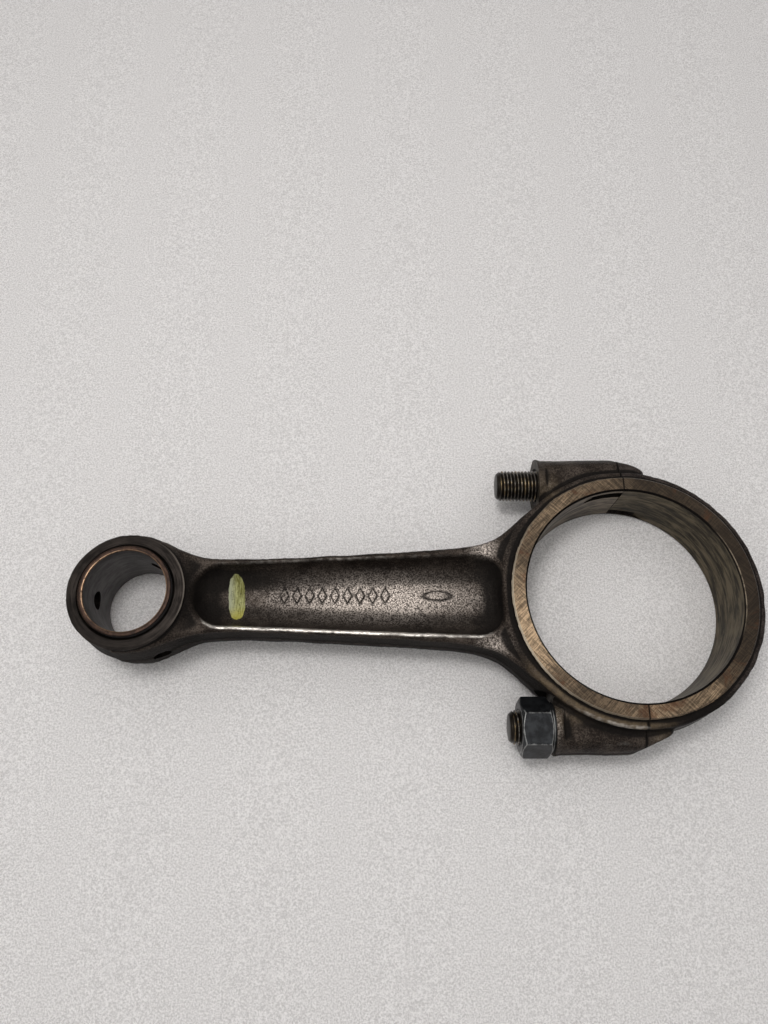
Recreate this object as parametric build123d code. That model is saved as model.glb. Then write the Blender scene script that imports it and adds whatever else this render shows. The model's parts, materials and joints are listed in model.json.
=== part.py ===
from build123d import *
import math
import os

# Connecting rod of a small four-stroke engine, lying flat.
# Origin: centre of the big-end bore, half way through its thickness.
# +X runs from the small end to the bearing cap, +Z along both bores. Millimetres.
# The joint face between rod and cap is the plane X = 0.

# Bores and centre distance
CENTRES = 137.0
BIG_BORE_RADIUS = 29.3
PIN_BORE_RADIUS = 11.0
BUSH_RADIUS = 12.4
BUSH_HALF_LENGTH = 12.1

# Forging: everything is widest at the parting plane Z = 0 and tapers to both faces
DRAFT_DEGREES = 6.0
DRAFT_SLOPE = math.tan(math.radians(DRAFT_DEGREES))
RING_MID_RADIUS = 36.6
RING_HALF_THICKNESS = 8.3
COLLAR_RADIUS = 33.4
COLLAR_HALF_THICKNESS = 10.0
SMALL_END_MID_RADIUS = 16.4
SMALL_END_HALF_THICKNESS = 10.8
FLANGE_HALF_THICKNESS = 7.35

# Half widths of the shank at the parting plane: (distance behind the big-end centre, half width)
SHANK_SIDE = [(127, 13.2), (119, 11.2), (108, 10.9), (82.6, 11.9), (52.6, 13.6), (38.2, 16.2), (31, 20.6), (21, 27)]

# Pocket of the I-section
POCKET_SMALL_END = -119.5
POCKET_BIG_END = -35.0
POCKET_NARROW_HALF_WIDTH = 8.4
POCKET_WIDE_HALF_WIDTH = 11.5
POCKET_NARROW_CORNER = 5.5
POCKET_WIDE_CORNER = 8.5
POCKET_DRAFT_DEGREES = 18.0
POCKET_FLOOR_FILLET = 2.2
WEB_HALF_THICKNESS = 2.0

# Bolts, their bosses and the nut
THREAD_RADIUS = 4.5
BOLT_SHANK_RADIUS = 4.7
BOLT_OFFSET = 34.5
BOLT_TIP = -35.0
BOLT_HEAD_END = 12.0
BOLT_TIP_CHAMFER = 0.8
RUNNING_CLEARANCE = 0.05
SPOT_FACE = -23.3
BOSS_RADIUS = 7.5
BOSS_RIM_RADIUS = 7.8
BOSS_RIM_LENGTH = 1.9
BOSS_PAD_HALF_THICKNESS = 6.5
BOSS_CAP_END = 8.0
NUT_ACROSS_FLATS = 14.0
NUT_HEIGHT = 8.8
NUT_WASHER_FACE = 0.6
NUT_CHAMFER_DEGREES = 25.0

# The shoulders of the cap are milled to this slope
SHOULDER_START = (-3.8, 42.0)
SHOULDER_END = (11.3, 34.8)

# Small features
EDGE_CHAMFER = 0.5
OIL_HOLE_RADIUS = 2.5
OIL_HOLE_ANGLES = (180, 60, -60)
TANG_WIDTH = 3.4
TANG_DEPTH = 1.3
TANG_CUTTER_RADIUS = 19.0
ROD_TANG_HEIGHT = 6.5
CAP_TANG_HEIGHT = -7.6

BIG = 200.0


def tapered_disc(mid_radius, half_thickness):
    """A forged disc about Z, widest at the parting plane."""
    face_radius = mid_radius - half_thickness * DRAFT_SLOPE
    outline = Polyline(
        (0, 0, -half_thickness),
        (face_radius, 0, -half_thickness),
        (mid_radius, 0, 0),
        (face_radius, 0, half_thickness),
        (0, 0, half_thickness),
        close=True,
    )
    return revolve(make_face(outline), Axis.Z)


def round_bar(radius, start_x, end_x, offset_y):
    """A cylinder along X between two stations, at one distance to the side."""
    length = end_x - start_x
    middle = (start_x + end_x) / 2
    return Pos(middle, offset_y, 0) * Rot(0, 90, 0) * Cylinder(radius, length)


def bore_tool(radius, half_length, chamfer_size):
    """What a boring bar and a countersink take out of a hole along Z."""
    outline = Polyline(
        (0, 0, -half_length - 1),
        (radius + chamfer_size + 1, 0, -half_length - 1),
        (radius, 0, -half_length + chamfer_size),
        (radius, 0, half_length - chamfer_size),
        (radius + chamfer_size + 1, 0, half_length + 1),
        (0, 0, half_length + 1),
        close=True,
    )
    return revolve(make_face(outline), Axis.Z)


def shank_blank():
    """The shank before its pockets are sunk: both sides follow one gentle curve."""
    side = [(-x, y) for x, y in SHANK_SIDE]
    other_side = [(x, -y) for x, y in side]
    upper = Spline(*side)
    lower = Spline(*other_side)
    narrow_end = Line(side[0], other_side[0])
    wide_end = Line(side[-1], other_side[-1])
    section = make_face(Curve() + [upper, lower, narrow_end, wide_end])
    top = extrude(section, FLANGE_HALF_THICKNESS, taper=DRAFT_DEGREES)
    return top + mirror(top, Plane.XY)


def pocket_tool():
    """One pocket of the I-section, narrow at the small end and with rounded corners."""
    corners = Polyline(
        (POCKET_SMALL_END, -POCKET_NARROW_HALF_WIDTH + 0.3),
        (POCKET_BIG_END, -POCKET_WIDE_HALF_WIDTH),
        (POCKET_BIG_END, POCKET_WIDE_HALF_WIDTH),
        (POCKET_SMALL_END, POCKET_NARROW_HALF_WIDTH - 0.3),
        close=True,
    )
    outline = make_face(corners)
    outline = fillet(outline.vertices().group_by(Axis.X)[0], POCKET_NARROW_CORNER)
    outline = fillet(outline.vertices().group_by(Axis.X)[-1], POCKET_WIDE_CORNER)
    depth = FLANGE_HALF_THICKNESS - WEB_HALF_THICKNESS
    sunk = extrude(Pos(0, 0, FLANGE_HALF_THICKNESS) * outline, -depth, taper=POCKET_DRAFT_DEGREES)
    sunk = fillet(sunk.faces().sort_by(Axis.Z)[0].edges(), POCKET_FLOOR_FILLET)
    mouth = extrude(Pos(0, 0, FLANGE_HALF_THICKNESS) * outline, 2)
    return sunk + mouth


def bolt_boss(side):
    """The boss round one bolt: a rim at the nut's seat, then a bar with flat pads that runs on into the cap."""
    boss = round_bar(BOSS_RADIUS, SPOT_FACE, BOSS_CAP_END, side * BOLT_OFFSET)
    boss &= Box(BIG, BIG, 2 * BOSS_PAD_HALF_THICKNESS)
    rim = round_bar(BOSS_RIM_RADIUS, SPOT_FACE, SPOT_FACE + BOSS_RIM_LENGTH, side * BOLT_OFFSET)
    return boss + rim


def shoulder_cutter(side):
    """The wedge milled off both halves beyond the sloping shoulder line."""
    start_x, start_y = SHOULDER_START
    end_x, end_y = SHOULDER_END
    run = end_x - start_x
    drop = start_y - end_y
    outline = Polyline(
        (start_x - run, side * (start_y + drop)),
        (end_x + run, side * (end_y - drop)),
        (end_x + run, side * (start_y + drop)),
        close=True,
    )
    wedge = extrude(make_face(outline), BIG, both=True)
    # the wedge only trims the bosses: the ring keeps its full radius
    return wedge - tapered_disc(RING_MID_RADIUS, RING_HALF_THICKNESS)


def big_end_ring():
    """The ring of the big end with its raised thrust collar on both faces."""
    ring = tapered_disc(RING_MID_RADIUS, RING_HALF_THICKNESS)
    return ring + Cylinder(COLLAR_RADIUS, 2 * COLLAR_HALF_THICKNESS)


def big_end_blank():
    """Ring and bolt bosses as forged in one piece, with milled shoulders."""
    blank = big_end_ring()
    for side in (1, -1):
        blank += bolt_boss(side)
    for side in (1, -1):
        blank -= shoulder_cutter(side)
    return blank


def half_space(sign):
    """Everything on one side of the joint face."""
    return Pos(sign * BIG / 2, 0, 0) * Box(BIG, BIG, BIG)


def tang_notch(sign, height):
    """A crescent slot for a bearing shell's locating tang: deepest at the joint face, sunk by a disc cutter."""
    cutter = Cylinder(TANG_CUTTER_RADIUS, TANG_WIDTH)
    centre_y = BIG_BORE_RADIUS + TANG_DEPTH - TANG_CUTTER_RADIUS
    return Pos(0, centre_y, height) * cutter & half_space(sign)


def oil_holes():
    """Radial holes that let splash oil through the small end to the pin."""
    holes = Part()
    for angle in OIL_HOLE_ANGLES:
        drill = Rot(0, 90, 0) * Cylinder(OIL_HOLE_RADIUS, SMALL_END_MID_RADIUS)
        holes += Pos(-CENTRES, 0, 0) * Rot(0, 0, angle) * Pos(SMALL_END_MID_RADIUS, 0, 0) * drill
    return holes


def rod_forging():
    """Small end, shank and the rod's half of the big end."""
    small_end = Pos(-CENTRES, 0, 0) * tapered_disc(SMALL_END_MID_RADIUS, SMALL_END_HALF_THICKNESS)
    rod = small_end + shank_blank() + big_end_blank()
    rod &= half_space(-1)
    for flip in (0, 180):
        rod -= Rot(flip, 0, 0) * pocket_tool()
    rod -= bore_tool(BIG_BORE_RADIUS, COLLAR_HALF_THICKNESS, EDGE_CHAMFER)
    rod -= Pos(-CENTRES, 0, 0) * bore_tool(BUSH_RADIUS, SMALL_END_HALF_THICKNESS, EDGE_CHAMFER)
    for side in (1, -1):
        hole_radius = BOLT_SHANK_RADIUS + RUNNING_CLEARANCE
        rod -= round_bar(hole_radius, BOLT_TIP, 1, side * BOLT_OFFSET)
        # nothing of the shank may stand over the nut's seat
        rod -= round_bar(BOSS_RIM_RADIUS + 0.3, BOLT_TIP - 5, SPOT_FACE, side * BOLT_OFFSET)
    rod -= oil_holes()
    rod -= tang_notch(-1, ROD_TANG_HEIGHT)
    return rod


def bearing_cap():
    """The cap that closes the big end; it carries both bolts."""
    cap = big_end_blank() & half_space(1)
    cap -= bore_tool(BIG_BORE_RADIUS, COLLAR_HALF_THICKNESS, EDGE_CHAMFER)
    for side in (1, -1):
        cap -= round_bar(BOLT_SHANK_RADIUS, -1, BOLT_HEAD_END, side * BOLT_OFFSET)
    cap -= tang_notch(1, CAP_TANG_HEIGHT)
    return cap


def cap_bolt(side):
    """A bolt pressed into the cap, its end dressed flush with the shoulder; the thread starts at the nut's seat."""
    offset_y = side * BOLT_OFFSET
    held = round_bar(BOLT_SHANK_RADIUS, 0, BOLT_HEAD_END, offset_y) & big_end_blank()
    shank = round_bar(BOLT_SHANK_RADIUS, SPOT_FACE, 0, offset_y)
    thread = round_bar(THREAD_RADIUS, BOLT_TIP, SPOT_FACE, offset_y)
    tip = thread.faces().sort_by(Axis.X)[0]
    return held + shank + chamfer(tip.edges(), BOLT_TIP_CHAMFER)


def nut_cone():
    """The solid of revolution that turns the nut's washer face and bevels its six corners at both ends."""
    corner_radius = NUT_ACROSS_FLATS / math.sqrt(3)
    face_radius = NUT_ACROSS_FLATS / 2 * 0.95
    bevel = (corner_radius - face_radius) * math.tan(math.radians(NUT_CHAMFER_DEGREES))
    outline = Polyline(
        (0, 0, 0),
        (face_radius, 0, 0),
        (face_radius, 0, NUT_WASHER_FACE),
        (corner_radius, 0, NUT_WASHER_FACE + bevel),
        (corner_radius, 0, NUT_HEIGHT - bevel),
        (face_radius, 0, NUT_HEIGHT),
        (0, 0, NUT_HEIGHT),
        close=True,
    )
    return revolve(make_face(outline), Axis.Z)


def nut():
    """The hexagon nut seated on the lower boss, one flat facing up."""
    hexagon = RegularPolygon(NUT_ACROSS_FLATS / 2, 6, major_radius=False, rotation=30)
    blank = extrude(hexagon, NUT_HEIGHT) & nut_cone()
    blank -= Cylinder(THREAD_RADIUS + RUNNING_CLEARANCE, 3 * NUT_HEIGHT)
    return Pos(SPOT_FACE, -BOLT_OFFSET, 0) * Rot(0, -90, 0) * blank


def small_end_bush():
    """The thin bush pressed into the small end."""
    sleeve = Cylinder(BUSH_RADIUS, 2 * BUSH_HALF_LENGTH)
    sleeve = chamfer(sleeve.edges(), EDGE_CHAMFER / 2)
    sleeve -= bore_tool(PIN_BORE_RADIUS, BUSH_HALF_LENGTH, EDGE_CHAMFER / 2)
    return Pos(-CENTRES, 0, 0) * sleeve - oil_holes()


NODES = {
    "rod_forging": rod_forging,
    "bearing_cap": bearing_cap,
    "small_end_bush": small_end_bush,
    "upper_bolt": lambda: cap_bolt(1),
    "lower_bolt": lambda: cap_bolt(-1),
    "lower_nut": nut,
}

os.makedirs("parts", exist_ok=True)
for name, make in NODES.items():
    export_step(make(), f"parts/{name}.step")
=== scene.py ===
import json
import math

import bpy
import numpy as np
from mathutils import Matrix, Vector


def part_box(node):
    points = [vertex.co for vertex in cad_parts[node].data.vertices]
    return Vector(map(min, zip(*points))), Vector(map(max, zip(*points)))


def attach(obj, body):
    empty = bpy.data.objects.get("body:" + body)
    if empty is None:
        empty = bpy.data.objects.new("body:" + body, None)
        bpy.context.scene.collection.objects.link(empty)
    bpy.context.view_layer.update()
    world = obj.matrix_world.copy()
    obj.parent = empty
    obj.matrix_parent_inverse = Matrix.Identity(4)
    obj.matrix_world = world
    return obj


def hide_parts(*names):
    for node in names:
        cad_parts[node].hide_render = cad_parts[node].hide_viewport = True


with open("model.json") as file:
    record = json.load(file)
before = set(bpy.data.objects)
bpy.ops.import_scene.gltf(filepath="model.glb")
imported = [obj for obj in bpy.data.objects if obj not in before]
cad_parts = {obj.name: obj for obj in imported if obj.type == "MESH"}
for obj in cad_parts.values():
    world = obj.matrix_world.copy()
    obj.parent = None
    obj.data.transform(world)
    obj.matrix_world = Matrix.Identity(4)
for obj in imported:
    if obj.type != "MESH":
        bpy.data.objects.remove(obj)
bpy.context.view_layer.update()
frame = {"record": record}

# ---- Sizes in millimetres. The ones that the CAD model fixes are read from it. ----
MM = 0.001


def node_box(node):
    """The lowest and highest corner of a CAD node, in millimetres."""
    low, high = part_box(node)
    return np.array(low) / MM, np.array(high) / MM


MOUNTS = {mount["name"]: mount for mount in frame["record"]["mounts"]}
BIG_BORE = MOUNTS["big_end_bore"]["dims"]["r_mm"]
PIN_BORE = MOUNTS["small_end_bore"]["dims"]["r_mm"]
THREAD_RADIUS = MOUNTS["upper_bolt_thread"]["dims"]["r_mm"]
SMALL_X = MOUNTS["small_end_bore"]["pos_m"][0] / MM

bush_low, bush_high = node_box("small_end_bush")
bolt_low, bolt_high = node_box("upper_bolt")
nut_low, nut_high = node_box("lower_nut")
BUSH_RADIUS = (bush_high[0] - bush_low[0]) / 2
BUSH_HALF_LENGTH = bush_high[2]
BOLT_Y = (bolt_low[1] + bolt_high[1]) / 2
BOLT_TIP = bolt_low[0]
BOLT_SHANK = bolt_high[2]
SEAT_X = nut_high[0]
ACROSS_FLATS = nut_high[2] - nut_low[2]
RING_RADIUS, _, COLLAR_HALF = node_box("bearing_cap")[1]
BOSS_HALF = node_box("rod_forging")[1][2]

# The forging: its sides taper from the parting plane Z = 0 to both faces
DRAFT = math.tan(math.radians(6))
SMALL_END_RADIUS = 16.45
SMALL_END_TAPER = 0.075
SMALL_END_FILLET = 5
GROOVE_DEPTH = 0.4
GROOVE_BELOW_FACE = 1.0
GROOVE_HALF_WIDTH = 0.5
RING_HALF = 8.3
RING_TAPER = 0.115
RING_ROUND = 0.9
COLLAR_RADIUS = 33.4
COLLAR_BEVEL = 0.35
BORE_BEVEL = 0.5
BIG_END_FILLET = 2.6
FLANGE_HALF = 7.35
FLANGE_ROUND = 1.3
WEB_HALF = 2.0
SHANK_SIDE_X = (-132, -126, -118, -108, -82.6, -52.6, -41, -36, -30, -24, -18)
SHANK_SIDE_Y = (14.8, 13.4, 11.5, 10.85, 11.8, 13.6, 15.2, 17.2, 21.8, 25.2, 27.5)
POCKET_ENDS = (-119.6, -34.0)
POCKET_HALF_WIDTHS = (8.3, 11.5)
POCKET_CORNERS = (7.0, 9.0)
POCKET_DRAFT = 0.2
POCKET_FOOT = 5.5
POCKET_EDGE_ROUND = 0.9
FLASH_HEIGHT = 0.16
FLASH_HALF_WIDTH = 1.0
BOSS_RADIUS = {"+Y": 7.45, "-Y": 7.0}
BOSS_RIM_RADIUS = {"+Y": 7.8, "-Y": 7.25}
BOSS_RIM_END = -22.3
PAD_HALF = {"+Y": 6.5, "-Y": 5.6}
PAD_START = -21.4
PAD_DEPTH = 1.6
BOSS_CAP_END = 8.0
SHOULDER_NORMAL = (0.4304, 0.9026)
SHOULDER_REACH = {"+Y": 36.72, "-Y": 36.27}
SPOT_FACE_RADIUS = 9.8
BOLT_CLEARANCE = 0.05
BOLT_COUNTERSINK = 0.6
EDGE_BREAK_WIDTH = 0.32
EDGE_BREAK_START = 5.3
OIL_HOLE_RADIUS = 2.6
OIL_HOLE_ANGLES = (180, 60, -60)
TANG_CUTTER_RADIUS = 19.0
TANG_DEPTH = 1.3
TANG_WIDTH = 3.4
TANG_HEIGHTS = {"rod": 6.5, "cap": -7.6}
THREAD_PITCH = 1.0
THREAD_DEPTH = 0.58
THREAD_CLEARANCE = 0.06
NUT_FACE_RADIUS = 6.6
NUT_WASHER_FACE = 0.6
NUT_CHAMFER_SLOPE = 1.73
NUT_FACE_RINGS = (6.3, 5.6, 5.0)
NUT_TURN = math.radians(6.5)
BUSH_GROOVE = 0.75
JOINT_GAP = 0.08
BOLT_END = 3.0
BLANK_Y, BLANK_Z = 45, 13
TOOL_Y, TOOL_Z = 60, 30
FLOOR_REACH = 3000

# The skin's unevenness: height and wavelength of each swell, and its random seed
UNEVENNESS = ((0.05, 11, 1), (0.035, 4.5, 2), (0.022, 1.9, 3))

# Plain raised marks in the pocket, and a stroke of marking paint
MARK_START = -95.5
MARK_STEP = 3.5
MARK_COUNT = 9
MARK_WIDTH = 2.2
MARK_LENGTH = 3.9
MARK_HEIGHT = 0.5
MARK_Y = 0.8
BAR_X = -53.0
BAR_WIDTH = 6.5
BAR_LENGTH = 2.3
PAINT_PLACE = (-108.7, 0.3)
PAINT_SIZE = (4.6, 12.8)
PAINT_LEAN = 0.06

# Soft spots on the forging that are rubbed clean (on the pocket's floor with a painted sheen), painted black
# as shade, or straw brown.
# Each has its centre, its reach on each axis and how much it shows.
RUBBED_AND_SHEEN_SPOTS = (
    # The first spot is rubbing along the middle of the pocket's floor, with a painted sheen where the floor
    # catches the lamp
    ((-70, 0.2, 2.3), (29, 6.2, 3), 1.0),
    ((-40, 13, 8), (4.5, 3.0, 4), 0.75),
    ((-38.5, -14, 8), (5, 3.5, 4), 0.6),
    ((-22.8, -33, 7), (1.2, 6, 4), 0.5),
    ((-21.3, -30.6, 7.2), (3.2, 2.6, 3), 0.5),
    ((-21, 32, 7), (2.5, 3, 4), 0.3),
    ((3.2, -36, 6), (2.6, 3.5, 4), 0.3),
)
# Dark spots painted as shade: at the pocket's ends and along its +Y side, beside the thrust collar, and on
# the big end's -Y side
SHADED_SPOTS = (
    ((-120.5, 0, 5), (3.5, 9, 9), 0.6),
    ((-113, 6.5, 2.5), (15, 4, 4), 0.45),
    ((-116, -2, 2.5), (5, 7, 4), 0.2),
    ((-36, 0, 4), (5, 14, 4), 0.3),
    ((-31, 0, 8), (3, 20, 5), 0.8),
    ((19, -34, 5), (14, 7, 9), 1.0),
    ((-19.6, -36, 6.5), (1.0, 4, 1.5), 0.7),
    ((-14, -34.6, 6.5), (6, 1.2, 1.2), 0.8),
    ((-4, -37.2, 6.5), (7, 1.0, 1.2), 0.8),
    ((-9, -35.5, 6.5), (9, 4, 1.5), 0.5),
)
STRAW_SPOTS = (
    ((-21.4, -31, 7.4), (3.5, 4, 3), 1.0),
    ((-21, 31, 7.4), (3, 4, 3), 0.8),
    ((4, -35.5, 6.5), (3.5, 4, 3), 0.9),
    ((-16.5, -31.8, 7.2), (6, 2.2, 3), 1.0),
)

# How bright the thrust collar is worn at each angle in degrees from +X
COLLAR_POLISH = (
    (0, 0.03), (82, 0.06), (102, 0.24), (120, 0.3), (145, 0.25), (165, 0.2),
    (180, 0.4), (197, 1.0), (211, 0.52), (226, 0.2), (248, 0.16), (268, 0.3),
    (274, 0.6), (286, 0.26), (300, 0.45), (318, 0.14), (335, 0.05), (360, 0.03),
)

# How bright the painted highlight on the thrust collar's outer edge is at each angle
COLLAR_EDGE_HIGHLIGHT = (
    (0, 0.0), (140, 0.1), (165, 0.5), (185, 0.9), (212, 0.9),
    (235, 0.35), (262, 0.2), (276, 0.1), (300, 0.0), (360, 0.0),
)

# How light the small end's turned face is at each angle: painted shade, darkest towards -Y
BOSS_FACE_SHADE = ((0, 1.0), (50, 0.9), (90, 0.85), (150, 0.8), (200, 0.8), (260, 0.5), (305, 0.8), (360, 1.0))

# How bright the inner edges of the bush and of the big bore are at each angle. Where the big bore's bevel
# stays dark, the dark is painted shade.
BUSH_EDGE_TONE = (
    (0, 0.8), (60, 0.25), (100, 0.4), (140, 1.0), (195, 0.9), (230, 0.2), (290, 0.3), (360, 0.8),
)
BORE_EDGE_TONE = ((0, 1), (22, 0.8), (40, 0), (335, 0), (350, 0.8), (360, 1))

# Colours as linear red, green and blue. A pair is the darkest and the lightest tone of one finish.
ROD_SCALE = ((0.016, 0.012, 0.010), (0.080, 0.064, 0.053))
CAP_SCALE = ((0.014, 0.011, 0.010), (0.068, 0.055, 0.049))
# Near black: scale in the hollows, and painted shade
BLACK_SCALE_AND_SHADE = (0.006, 0.005, 0.0045)
STRAW_BROWN = (0.125, 0.093, 0.058)
# Cleaned steel, which on the pocket's floor is also a painted sheen
CLEANED_STEEL_AND_SHEEN = (0.74, 0.65, 0.58)
# Near white: worn ridges, and a painted highlight on the -Y side
BRIGHT_RIDGE_AND_HIGHLIGHT = (0.95, 0.89, 0.82)
GROUND_FACE = ((0.022, 0.017, 0.0135), (0.44, 0.315, 0.20))
RED_RUST = (0.085, 0.040, 0.022)
DARK_FRECKLE = (0.018, 0.013, 0.011)
# The painted highlight on the thrust collar's outer edge
COLLAR_EDGE_HIGHLIGHT_COLOUR = (0.70, 0.60, 0.46)
SEAM_BLACK = (0.01, 0.008, 0.007)
ROD_BORE = ((0.05, 0.042, 0.034), (0.25, 0.21, 0.16))
CAP_BORE = ((0.026, 0.021, 0.013), (0.155, 0.126, 0.080))
# The big bore's bevel: black as painted shade, and a lighter tone towards +X
BORE_EDGE = ((0.010, 0.008, 0.007), (0.42, 0.34, 0.25))
SPOT_FACE = ((0.02, 0.017, 0.014), (0.10, 0.085, 0.068))
# Near black: painted shade inside holes and in the groove round the bush
HOLE_SHADE_COLOURS = ((0.006, 0.005, 0.004), (0.022, 0.018, 0.015))
SMALL_END_FACE = ((0.007, 0.0058, 0.0052), (0.034, 0.0280, 0.0245))
BOSS_FACE_LINE = (0.15, 0.13, 0.11)
BUSH_RIM = ((0.011, 0.0065, 0.005), (0.033, 0.018, 0.0115))
BUSH_EDGE_BRIGHT = (0.42, 0.27, 0.17)
BUSH_WALL = ((0.095, 0.090, 0.089), (0.15, 0.142, 0.14))
BRONZE_SPOT = (0.04, 0.022, 0.015)
# Painted shade on the bush's outside, next to the groove
BRONZE_OUTSIDE_SHADE = (0.012, 0.009, 0.008)
BOLT_GREY_AND_STRAW = ((0.085, 0.074, 0.063), (0.30, 0.215, 0.11))
BOLT_ROOT_DARK = (0.022, 0.018, 0.014)
# Grey crests: rubbing and a painted highlight
BOLT_CREST_HIGHLIGHT = (0.56, 0.52, 0.47)
NUT_OXIDE = ((0.014, 0.0145, 0.016), (0.033, 0.035, 0.038))
NUT_EDGE = (0.42, 0.42, 0.41)
PAINT_THIN_AND_THICK = ((0.12, 0.115, 0.03), (0.35, 0.35, 0.155))
PAINT_PALE_SIDE = (0.33, 0.35, 0.28)
PAINT_YELLOW_END = (0.34, 0.30, 0.045)
PAINT_SPECKLE = (0.05, 0.045, 0.02)
FLOOR_GRAIN = ((0.53, 0.512, 0.508), (0.84, 0.82, 0.815))
ROOM_AND_GLOW = ((0.10, 0.103, 0.107), (1.0, 0.99, 0.975))
KEY_COLOUR = (1, 0.985, 0.97)

# The camera, and the lamp over the pocket, in metres
CAMERA_PLACE = (-0.07016, -0.05108, 0.21663)
CAMERA_TURN = (19.68, -0.58, -0.15)
CAMERA_LENS = 27.71
KEY_PLACE = (-0.17, 0.06, 0.52)
KEY_AIM = (-0.04, 0, 0)
KEY_SIZE = 0.13
KEY_POWER = 1.15
SKY_STRENGTH = 0.96

# The direction that the brightest part of the overhead light comes from
SKY_GLOW = (-0.12, 0.12, 0.985)

GRID_STEP = 0.42


# ---- The forging as a field: negative inside, zero on the skin, in millimetres ----
def smooth_max(a, b, width):
    """The larger of two fields, with a rounded edge where they meet."""
    h = np.maximum(width - np.abs(a - b), 0) / width
    return np.maximum(a, b) + h * h * width / 4


def smooth_min(a, b, width):
    """The smaller of two fields, with a fillet where they meet."""
    return -smooth_max(-a, -b, width)


def blend(x, start, end):
    """0 before start, 1 after end, with a soft change between them."""
    t = np.clip((x - start) / (end - start), 0, 1)
    return t * t * (3 - 2 * t)


def near(value, centre, reach):
    """1 at the centre, fading softly to 0 beyond the reach."""
    return np.exp(-((value - centre) / reach) ** 2)


def turns(count):
    """The angles of equal steps once round."""
    return 2 * math.pi * np.arange(count) / count


def spline(xs, ys):
    """A natural cubic spline through a few points, as a function of x."""
    xs, ys = np.array(xs, float), np.array(ys, float)
    gap, rise = np.diff(xs), np.diff(ys)
    system = np.eye(len(xs))
    right = np.zeros(len(xs))
    for i in range(1, len(xs) - 1):
        system[i, i - 1:i + 2] = gap[i - 1], 2 * (gap[i - 1] + gap[i]), gap[i]
        right[i] = 6 * (rise[i] / gap[i] - rise[i - 1] / gap[i - 1])
    bend = np.linalg.solve(system, right)

    def value(x):
        x = np.clip(x, xs[0], xs[-1])
        i = np.clip(np.searchsorted(xs, x) - 1, 0, len(gap) - 1)
        before, after = x - xs[i], xs[i + 1] - x
        curve = (bend[i] * after ** 3 + bend[i + 1] * before ** 3) / (6 * gap[i])
        start = (ys[i] / gap[i] - bend[i] * gap[i] / 6) * after
        end = (ys[i + 1] / gap[i] - bend[i + 1] * gap[i] / 6) * before
        return curve + start + end

    return value


shank_side = spline(SHANK_SIDE_X, SHANK_SIDE_Y)


def shank_field(x, y, z):
    """A bar whose sides taper from the parting plane to both faces."""
    side = np.abs(y) - shank_side(x) + np.abs(z) * DRAFT
    flange = smooth_max(side, np.abs(z) - FLANGE_HALF, FLANGE_ROUND)
    return np.maximum(flange, np.maximum(x + 12, SMALL_X - x))


def pocket_field(x, y, z):
    """The trough of the I-section, with a broad round foot all along its walls."""
    start, end = POCKET_ENDS
    share = np.clip((x - start) / (end - start), 0, 1)
    half_width = POCKET_HALF_WIDTHS[0] + share * (POCKET_HALF_WIDTHS[1] - POCKET_HALF_WIDTHS[0])
    corner = POCKET_CORNERS[0] + share * (POCKET_CORNERS[1] - POCKET_CORNERS[0])
    across = np.abs(y) - half_width + corner
    along = np.abs(x - (start + end) / 2) - (end - start) / 2 + corner
    outline = np.hypot(np.maximum(across, 0), np.maximum(along, 0)) - corner
    outline += np.minimum(np.maximum(across, along), 0)
    wall = outline + (FLANGE_HALF - np.abs(z)) * POCKET_DRAFT
    return smooth_max(wall, WEB_HALF - np.abs(z), POCKET_FOOT)


def small_end_field(x, y, z):
    """The small end's boss, with a shallow turned groove under each face."""
    groove = GROOVE_DEPTH * near(np.abs(z) - BOSS_HALF, -GROOVE_BELOW_FACE, GROOVE_HALF_WIDTH)
    return np.hypot(x - SMALL_X, y) - SMALL_END_RADIUS + np.abs(z) * SMALL_END_TAPER + groove


def ring_field(x, y, z):
    """The big end's ring and the thrust collar that stands on both its faces."""
    side = np.hypot(x, y) - RING_RADIUS + np.abs(z) * RING_TAPER
    ring = smooth_max(side, np.abs(z) - RING_HALF, RING_ROUND)
    collar = np.maximum(np.hypot(x, y) - COLLAR_RADIUS, np.abs(z) - COLLAR_HALF - 1)
    return smooth_min(ring, collar, RING_ROUND)


def by_side(values, y):
    """The value for the side that a point is on."""
    return np.where(y > 0, values["+Y"], values["-Y"])


def bolt_boss_field(x, y, z):
    """The two bosses: a lip at the nut's seat, a sunk flat pad behind it, and milled sloping shoulders."""
    rim = 1 - blend(x, BOSS_RIM_END - 0.8, BOSS_RIM_END + 0.8)
    swell = 0.2 * blend(x, -20, -4) * (y > 0)
    plain = by_side(BOSS_RADIUS, y)
    lip = by_side(BOSS_RIM_RADIUS, y) - plain
    boss = np.hypot(np.abs(y) - BOLT_Y, z) - plain - swell - rim * lip
    pad_step = PAD_DEPTH * (1 - blend(x, PAD_START - 0.5, PAD_START + 0.5))
    boss = smooth_max(boss, np.abs(z) - by_side(PAD_HALF, y) - pad_step, 0.7)
    boss = smooth_max(boss, x - BOSS_CAP_END, 3)
    shoulder = SHOULDER_NORMAL[0] * x + SHOULDER_NORMAL[1] * np.abs(y) - by_side(SHOULDER_REACH, y)
    boss = smooth_max(boss, shoulder, 0.6)
    return np.maximum(boss, SEAT_X - 1.5 - x)


def forging_field(x, y, z):
    """Rod and cap as forged in one piece, before anything is machined."""
    body = smooth_min(shank_field(x, y, z), small_end_field(x, y, z), SMALL_END_FILLET)
    body = smooth_max(body, np.abs(z) - BOSS_HALF - 1, 0.5)
    body = smooth_max(body, -pocket_field(x, y, z), POCKET_EDGE_ROUND)
    big_end = smooth_min(ring_field(x, y, z), bolt_boss_field(x, y, z), 1.0)
    body = smooth_min(body, big_end, BIG_END_FILLET)
    flash = FLASH_HEIGHT * blend(np.abs(z), FLASH_HALF_WIDTH + 0.3, FLASH_HALF_WIDTH - 0.3)
    return body - flash


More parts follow.
